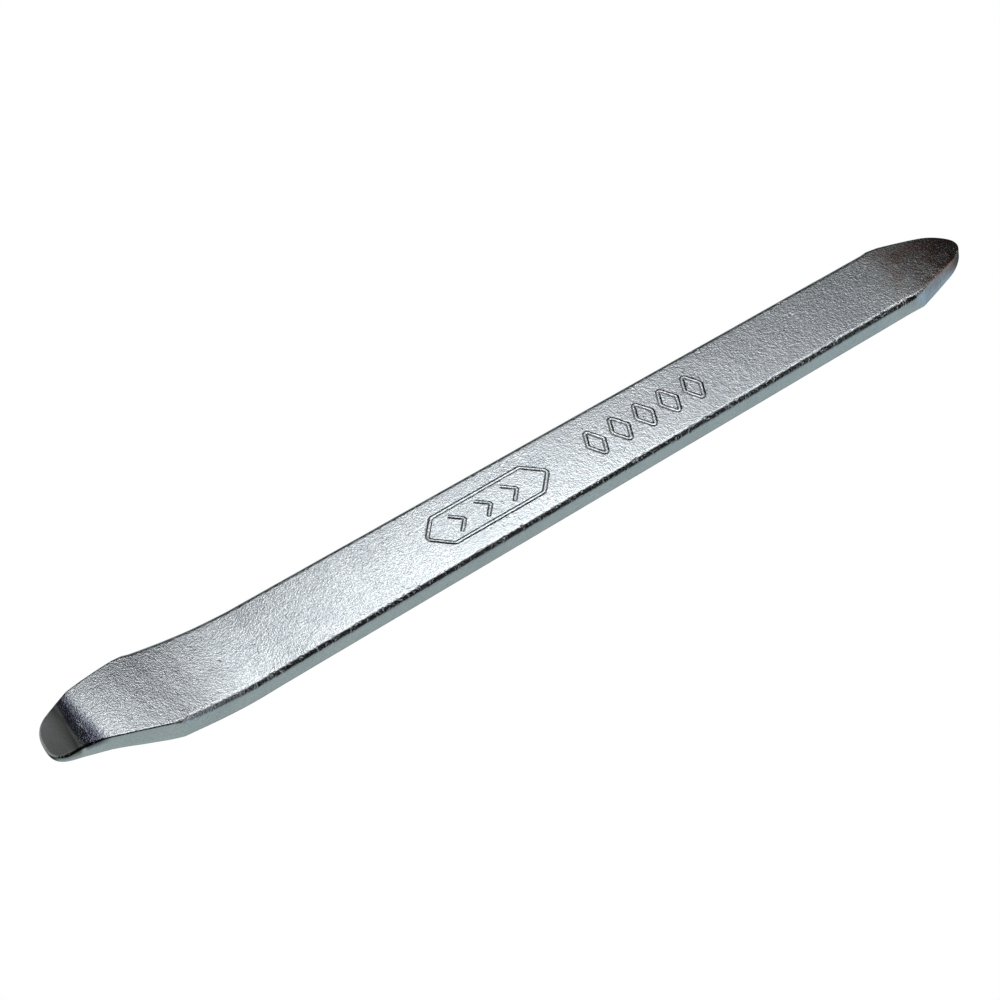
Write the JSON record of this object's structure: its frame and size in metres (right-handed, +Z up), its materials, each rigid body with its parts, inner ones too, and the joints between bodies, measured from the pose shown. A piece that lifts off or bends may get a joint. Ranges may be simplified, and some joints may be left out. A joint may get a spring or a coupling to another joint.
{
  "type": "tyre lever",
  "caption": "Flat forged steel pry bar of the tyre-lever kind, curving up to a spoon lip at the near end and tapering to a straight rounded tip at the far end.",
  "frame": {"origin": "centre of the bounding box in plan, on the plane of the bar's flat underside", "axes": "+X along the bar from the spoon end to the straight tip, +Y across its width, +Z up out of the marked top face, towards which the spoon curves"},
  "size_m": [0.281, 0.0262, 0.0133],
  "materials": {
    "plated_steel": "bright zinc plating over a fine as-forged texture"
  },
  "bodies": {
    "root": {"lever_bar": "plated_steel"}
  },
  "joints": []
}
